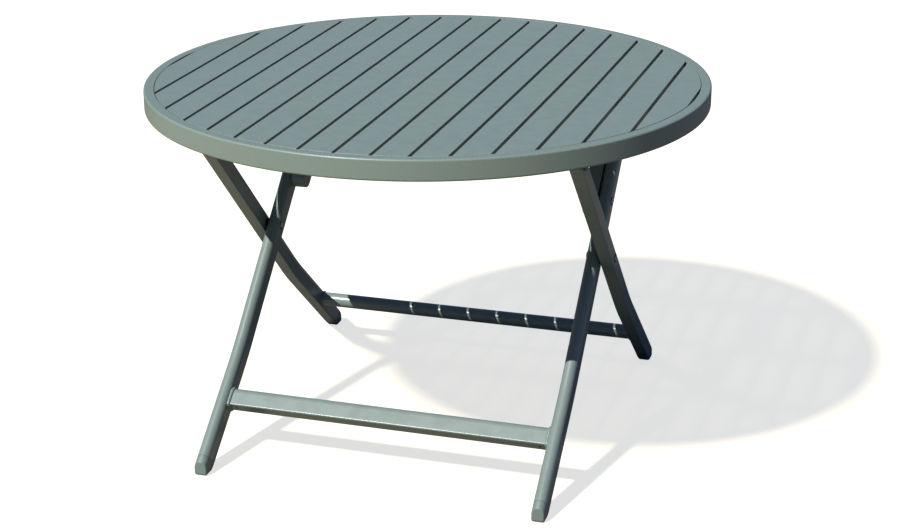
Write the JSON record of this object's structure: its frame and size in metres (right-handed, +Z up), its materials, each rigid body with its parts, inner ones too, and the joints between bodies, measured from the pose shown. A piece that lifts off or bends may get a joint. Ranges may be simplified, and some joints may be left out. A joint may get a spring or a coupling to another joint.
{
  "type": "folding picnic table",
  "caption": "Round slatted table top in a deep rolled rim, standing on crossed tube legs that fold flat under it like scissors.",
  "frame": {"origin": "on the ground, under the centre of the round top", "axes": "+Z up; +Y along the slats, towards the outer frame's feet; +X along the cross rails"},
  "size_m": [1.1, 1.1, 0.716],
  "materials": {
    "top_paint": "satin grey-green powder coat, finely textured",
    "leg_paint": "satin grey-green powder coat, finely textured",
    "foot_plastic": "moulded, fine matt grain",
    "bolt_steel": "zinc plated, lightly worn",
    "bracket_steel": "pressed steel under dark satin paint",
    "black_nylon": "moulded nylon, matt"
  },
  "bodies": {
    "top": {"rim": "top_paint", "slat_01": "top_paint", "slat_02": "top_paint", "slat_03": "top_paint", "slat_04": "top_paint", "slat_05": "top_paint", "slat_06": "top_paint", "slat_07": "top_paint", "slat_08": "top_paint", "slat_09": "top_paint", "slat_10": "top_paint", "slat_11": "top_paint", "slat_12": "top_paint", "slat_13": "top_paint", "slat_14": "top_paint", "slat_15": "top_paint", "slat_16": "top_paint", "batten_front": "leg_paint", "batten_middle": "leg_paint", "batten_back": "leg_paint", "hinge_bracket_left": "bracket_steel", "hinge_bracket_right": "bracket_steel", "hinge_bolt_left": "bolt_steel", "hinge_bolt_right": "bolt_steel", "saddle_left": "black_nylon", "saddle_right": "black_nylon"},
    "outer_frame": {"outer_leg_left": "leg_paint", "outer_leg_right": "leg_paint", "outer_cap_left": "foot_plastic", "outer_cap_right": "foot_plastic", "outer_foot_left": "foot_plastic", "outer_foot_right": "foot_plastic", "back_rail": "leg_paint", "pivot_bolt_left": "bolt_steel", "pivot_bolt_right": "bolt_steel", "pivot_spacer_left": "black_nylon", "pivot_spacer_right": "black_nylon", "pivot_nut_left": "bolt_steel", "pivot_nut_right": "bolt_steel"},
    "inner_frame": {"inner_leg_left": "leg_paint", "inner_leg_right": "leg_paint", "inner_cap_left": "foot_plastic", "inner_cap_right": "foot_plastic", "inner_foot_left": "foot_plastic", "inner_foot_right": "foot_plastic", "front_rail": "leg_paint", "crossbar": "leg_paint", "arm_left": "leg_paint", "arm_right": "leg_paint", "arm_bolt_low_left": "bolt_steel", "arm_bolt_low_right": "bolt_steel", "arm_bolt_high_left": "bolt_steel", "arm_bolt_high_right": "bolt_steel"}
  },
  "joints": [
    {"name": "top_hinge", "type": "hinge", "parent": "top", "child": "outer_frame", "pos_m": [0, -0.26477, 0.65177], "axis": [1, 0, 0], "range_deg": [0, 40]},
    {"name": "scissor_pivot", "type": "hinge", "parent": "outer_frame", "child": "inner_frame", "pos_m": [0, 0.011, 0.376], "axis": [1, 0, 0], "range_deg": [-80, 0]}
  ],
  "couplings": [
    {"joint": "scissor_pivot", "follows": "top_hinge", "ratio": -2}
  ]
}
